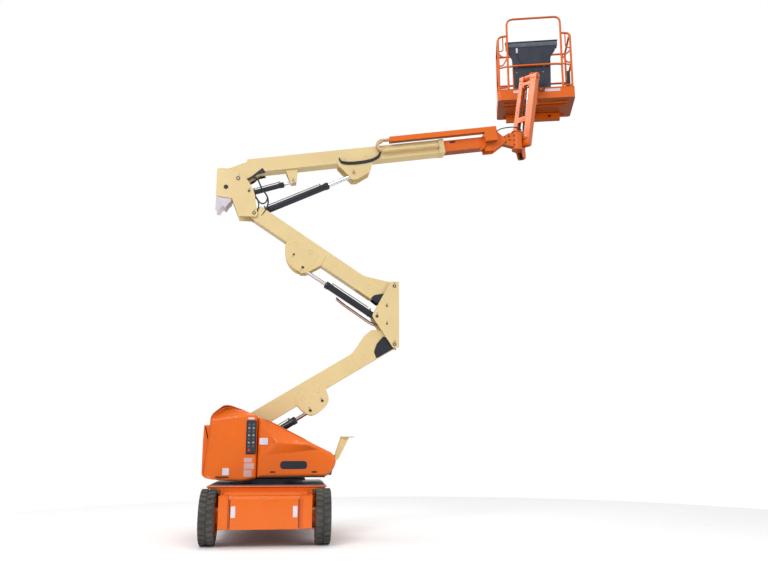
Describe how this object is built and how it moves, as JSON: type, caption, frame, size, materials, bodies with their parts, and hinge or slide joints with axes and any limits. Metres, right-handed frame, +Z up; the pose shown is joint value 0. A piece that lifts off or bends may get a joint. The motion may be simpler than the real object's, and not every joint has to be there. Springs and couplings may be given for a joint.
{
  "type": "articulating boom lift",
  "caption": "Four-wheel electric boom lift: slewing turntable, two-arm riser tower, telescoping main boom and a swinging jib that carries a railed work platform.",
  "frame": {"origin": "on the ground, under the middle of the lift's bounding box in the stored pose", "axes": "+X along the boom towards the platform, +Y along the chassis from the driven axle to the steered axle, +Z up"},
  "size_m": [5.6346, 2.7508, 8.0115],
  "materials": {
    "orange_paint": "gloss",
    "cream_paint": "gloss",
    "black_paint": "satin",
    "chrome": "polished",
    "steel": "satin",
    "tread_plate": "satin",
    "tyre": "matte",
    "console_plastic": "matte",
    "track_plastic": "matte"
  },
  "bodies": {
    "chassis": {"chassis_frame": "orange_paint", "rear_battery_cover": "orange_paint", "front_battery_cover": "orange_paint", "deck_plate": "tread_plate", "slew_ring": "black_paint", "drive_axle": "orange_paint", "steer_axle": "orange_paint"},
    "wheel_rear_left": {"tyre_rear_left": "tyre", "rim_rear_left": "orange_paint"},
    "steer_left": {"steer_knuckle_left": "orange_paint"},
    "wheel_front_left": {"tyre_front_left": "tyre", "rim_front_left": "orange_paint"},
    "wheel_rear_right": {"tyre_rear_right": "tyre", "rim_rear_right": "orange_paint"},
    "steer_right": {"steer_knuckle_right": "orange_paint"},
    "wheel_front_right": {"tyre_front_right": "tyre", "rim_front_right": "orange_paint"},
    "tie_rod": {"tie_rod": "steel"},
    "turntable": {"turntable_frame": "black_paint", "counterweight": "orange_paint", "cowl_near": "orange_paint", "cowl_far": "orange_paint", "ground_control_panel": "black_paint", "boom_rest": "cream_paint", "hydraulic_unit": "black_paint", "battery_pack": "black_paint"},
    "hood_near": {"hood_near": "orange_paint"},
    "hood_far": {"hood_far": "orange_paint"},
    "lower_boom": {"lower_boom": "cream_paint"},
    "knuckle": {"tower_knuckle": "cream_paint"},
    "mid_boom": {"mid_boom": "cream_paint"},
    "upright": {"tower_upright": "cream_paint"},
    "main_boom": {"main_boom": "cream_paint", "track_tray": "cream_paint"},
    "track_bend": {"track_bend": "track_plastic"},
    "fly_boom": {"fly_boom": "orange_paint", "track_carrier": "orange_paint"},
    "head": {"boom_head": "orange_paint"},
    "jib_swivel": {"jib_swivel": "orange_paint"},
    "jib": {"jib_frame": "orange_paint"},
    "platform_mount": {"platform_mount": "orange_paint"},
    "platform": {"platform_support": "orange_paint", "platform_floor": "orange_paint", "platform_rails": "orange_paint", "platform_console": "console_plastic"},
    "gate": {"platform_gate": "orange_paint"},
    "jib_cylinder_barrel": {"jib_cylinder_barrel": "black_paint"},
    "jib_cylinder_rod": {"jib_cylinder_rod": "chrome"},
    "lift_cylinder_barrel": {"lift_cylinder_barrel": "black_paint"},
    "lift_cylinder_rod": {"lift_cylinder_rod": "chrome"},
    "level_cylinder_barrel": {"level_cylinder_barrel": "black_paint"},
    "level_cylinder_rod": {"level_cylinder_rod": "chrome"},
    "mid_cylinder_barrel": {"mid_cylinder_barrel": "black_paint"},
    "mid_cylinder_rod": {"mid_cylinder_rod": "chrome"},
    "lower_cylinder_barrel": {"lower_cylinder_barrel": "black_paint"},
    "lower_cylinder_rod": {"lower_cylinder_rod": "chrome"}
  },
  "joints": [
    {"name": "rear_left_spin", "type": "hinge", "parent": "chassis", "child": "wheel_rear_left", "pos_m": [-2.64026, -1.05788, 0.3175], "axis": [1, 0, 0], "continuous": true},
    {"name": "rear_right_spin", "type": "hinge", "parent": "chassis", "child": "wheel_rear_right", "pos_m": [-1.31826, -1.05788, 0.3175], "axis": [1, 0, 0], "continuous": true},
    {"name": "steer", "type": "hinge", "parent": "chassis", "child": "steer_left", "pos_m": [-2.49926, 0.94212, 0], "axis": [0, 0, 1], "range_deg": [-35, 35]},
    {"name": "steer_right_follow", "type": "hinge", "parent": "chassis", "child": "steer_right", "pos_m": [-1.45926, 0.94212, 0], "axis": [0, 0, 1], "range_deg": [-35, 35]},
    {"name": "tie_rod_follow", "type": "hinge", "parent": "steer_left", "child": "tie_rod", "pos_m": [-2.49926, 1.11212, 0], "axis": [0, 0, 1], "range_deg": [-35, 35]},
    {"name": "front_left_spin", "type": "hinge", "parent": "steer_left", "child": "wheel_front_left", "pos_m": [-2.64026, 0.94212, 0.3175], "axis": [1, 0, 0], "continuous": true},
    {"name": "front_right_spin", "type": "hinge", "parent": "steer_right", "child": "wheel_front_right", "pos_m": [-1.31826, 0.94212, 0.3175], "axis": [1, 0, 0], "continuous": true},
    {"name": "slew", "type": "hinge", "parent": "chassis", "child": "turntable", "pos_m": [-1.97926, -0.05788, 0], "axis": [0, 0, 1], "range_deg": [-180, 180]},
    {"name": "hood_near_open", "type": "hinge", "parent": "turntable", "child": "hood_near", "pos_m": [-1.91926, -0.24388, 1.375], "axis": [-0.8944, 0, 0.4472], "range_deg": [0, 70]},
    {"name": "hood_far_open", "type": "hinge", "parent": "turntable", "child": "hood_far", "pos_m": [-1.91926, 0.12812, 1.375], "axis": [0.8944, 0, -0.4472], "range_deg": [0, 70]},
    {"name": "tower_lift", "type": "hinge", "parent": "turntable", "child": "lower_boom", "pos_m": [-2.32926, -0.05788, 1.281], "axis": [0, -1, 0], "range_deg": [-33, 36]},
    {"name": "knuckle_level", "type": "hinge", "parent": "lower_boom", "child": "knuckle", "pos_m": [-0.34101, -0.05788, 2.48039], "axis": [0, -1, 0], "range_deg": [-36, 33]},
    {"name": "mid_boom_follow", "type": "hinge", "parent": "knuckle", "child": "mid_boom", "pos_m": [-0.34101, -0.05788, 3.28739], "axis": [0, -1, 0], "range_deg": [-36, 33]},
    {"name": "upright_level", "type": "hinge", "parent": "mid_boom", "child": "upright", "pos_m": [-2.29131, -0.05788, 4.27256], "axis": [0, -1, 0], "range_deg": [-33, 36]},
    {"name": "lower_cylinder_barrel_turn", "type": "hinge", "parent": "turntable", "child": "lower_cylinder_barrel", "pos_m": [-2.30926, -0.05788, 1.049], "axis": [0, -1, 0], "range_deg": [-31, 34]},
    {"name": "lower_cylinder_rod_slide", "type": "slide", "parent": "lower_cylinder_barrel", "child": "lower_cylinder_rod", "axis": [0.8452, 0, 0.5344], "range_m": [-0.117, 0.127]},
    {"name": "mid_cylinder_barrel_turn", "type": "hinge", "parent": "knuckle", "child": "mid_cylinder_barrel", "pos_m": [-0.58301, -0.05788, 2.86039], "axis": [0, -1, 0], "range_deg": [-37, 34]},
    {"name": "mid_cylinder_rod_slide", "type": "slide", "parent": "mid_cylinder_barrel", "child": "mid_cylinder_rod", "axis": [-0.8385, 0, 0.5448], "range_m": [-0.275, 0.299]},
    {"name": "main_lift", "type": "hinge", "parent": "upright", "child": "main_boom", "pos_m": [-2.52431, -0.05788, 4.76556], "axis": [0, -1, 0], "range_deg": [-12, 63]},
    {"name": "lift_cylinder_barrel_turn", "type": "hinge", "parent": "upright", "child": "lift_cylinder_barrel", "pos_m": [-2.29131, -0.05788, 4.27256], "axis": [0, -1, 0], "range_deg": [-12, 58]},
    {"name": "lift_cylinder_rod_slide", "type": "slide", "parent": "lift_cylinder_barrel", "child": "lift_cylinder_rod", "axis": [0.9038, 0, 0.428], "range_m": [-0.106, 0.544]},
    {"name": "level_cylinder_barrel_turn", "type": "hinge", "parent": "upright", "child": "level_cylinder_barrel", "pos_m": [-2.36931, -0.05788, 4.58756], "axis": [0, -1, 0], "range_deg": [-13, 64]},
    {"name": "level_cylinder_rod_slide", "type": "slide", "parent": "level_cylinder_barrel", "child": "level_cylinder_rod", "axis": [0.9503, 0, 0.3114], "range_m": [-0.051, 0.253]},
    {"name": "telescope", "type": "slide", "parent": "main_boom", "child": "fly_boom", "axis": [0.9877, 0, 0.1564], "range_m": [-0.3, 0.6]},
    {"name": "track_follow", "type": "slide", "parent": "main_boom", "child": "track_bend", "axis": [0.9877, 0, 0.1564], "range_m": [-0.15, 0.3]},
    {"name": "head_level", "type": "hinge", "parent": "fly_boom", "child": "head", "pos_m": [1.28054, -0.05788, 5.54537], "axis": [0, -1, 0], "range_deg": [-63, 12]},
    {"name": "jib_swing", "type": "hinge", "parent": "head", "child": "jib_swivel", "pos_m": [1.52754, -0.05788, 5.54537], "axis": [0, 0, 1], "range_deg": [-134, 46]},
    {"name": "jib_lift", "type": "hinge", "parent": "jib_swivel", "child": "jib", "pos_m": [1.62106, 0.03243, 5.54937], "axis": [0.6947, -0.7193, 0], "range_deg": [-112, 5]},
    {"name": "jib_cylinder_barrel_turn", "type": "hinge", "parent": "jib_swivel", "child": "jib_cylinder_barrel", "pos_m": [1.63767, 0.0728, 5.35937], "axis": [0.6947, -0.7193, 0], "range_deg": [-109, 6]},
    {"name": "jib_cylinder_rod_slide", "type": "slide", "parent": "jib_cylinder_barrel", "child": "jib_cylinder_rod", "axis": [0.1658, 0.1601, 0.9731], "range_m": [-0.309, 0.017]},
    {"name": "platform_level", "type": "hinge", "parent": "jib", "child": "platform_mount", "pos_m": [1.87683, 0.27943, 6.7894], "axis": [0.6947, -0.7193, 0], "range_deg": [-5, 112]},
    {"name": "platform_rotate", "type": "hinge", "parent": "platform_mount", "child": "platform", "pos_m": [1.95596, 0.35584, 6.7894], "axis": [0, 0, 1], "range_deg": [-100, 48]},
    {"name": "gate_open", "type": "hinge", "parent": "platform", "child": "gate", "pos_m": [2.51858, 1.13719, 6.7894], "axis": [0, 0, 1], "range_deg": [0, 75]}
  ],
  "couplings": [
    {"joint": "steer_right_follow", "follows": "steer", "ratio": 1},
    {"joint": "tie_rod_follow", "follows": "steer", "ratio": -1},
    {"joint": "knuckle_level", "follows": "tower_lift", "ratio": -1},
    {"joint": "mid_boom_follow", "follows": "tower_lift", "ratio": -1},
    {"joint": "upright_level", "follows": "tower_lift", "ratio": 1},
    {"joint": "lower_cylinder_barrel_turn", "follows": "tower_lift", "ratio": 0.8932},
    {"joint": "lower_cylinder_rod_slide", "follows": "tower_lift", "m_per_rad": 0.19759},
    {"joint": "mid_cylinder_barrel_turn", "follows": "tower_lift", "ratio": -0.97822},
    {"joint": "mid_cylinder_rod_slide", "follows": "tower_lift", "m_per_rad": 0.47184},
    {"joint": "lift_cylinder_barrel_turn", "follows": "main_lift", "ratio": 0.89176},
    {"joint": "lift_cylinder_rod_slide", "follows": "main_lift", "m_per_rad": 0.4923},
    {"joint": "level_cylinder_barrel_turn", "follows": "main_lift", "ratio": 0.99899},
    {"joint": "level_cylinder_rod_slide", "follows": "main_lift", "m_per_rad": 0.22758},
    {"joint": "track_follow", "follows": "telescope", "ratio": 0.5},
    {"joint": "head_level", "follows": "main_lift", "ratio": -1},
    {"joint": "jib_cylinder_barrel_turn", "follows": "jib_lift", "ratio": 0.96133},
    {"joint": "jib_cylinder_rod_slide", "follows": "jib_lift", "m_per_rad": 0.15672},
    {"joint": "platform_level", "follows": "jib_lift", "ratio": -1}
  ]
}
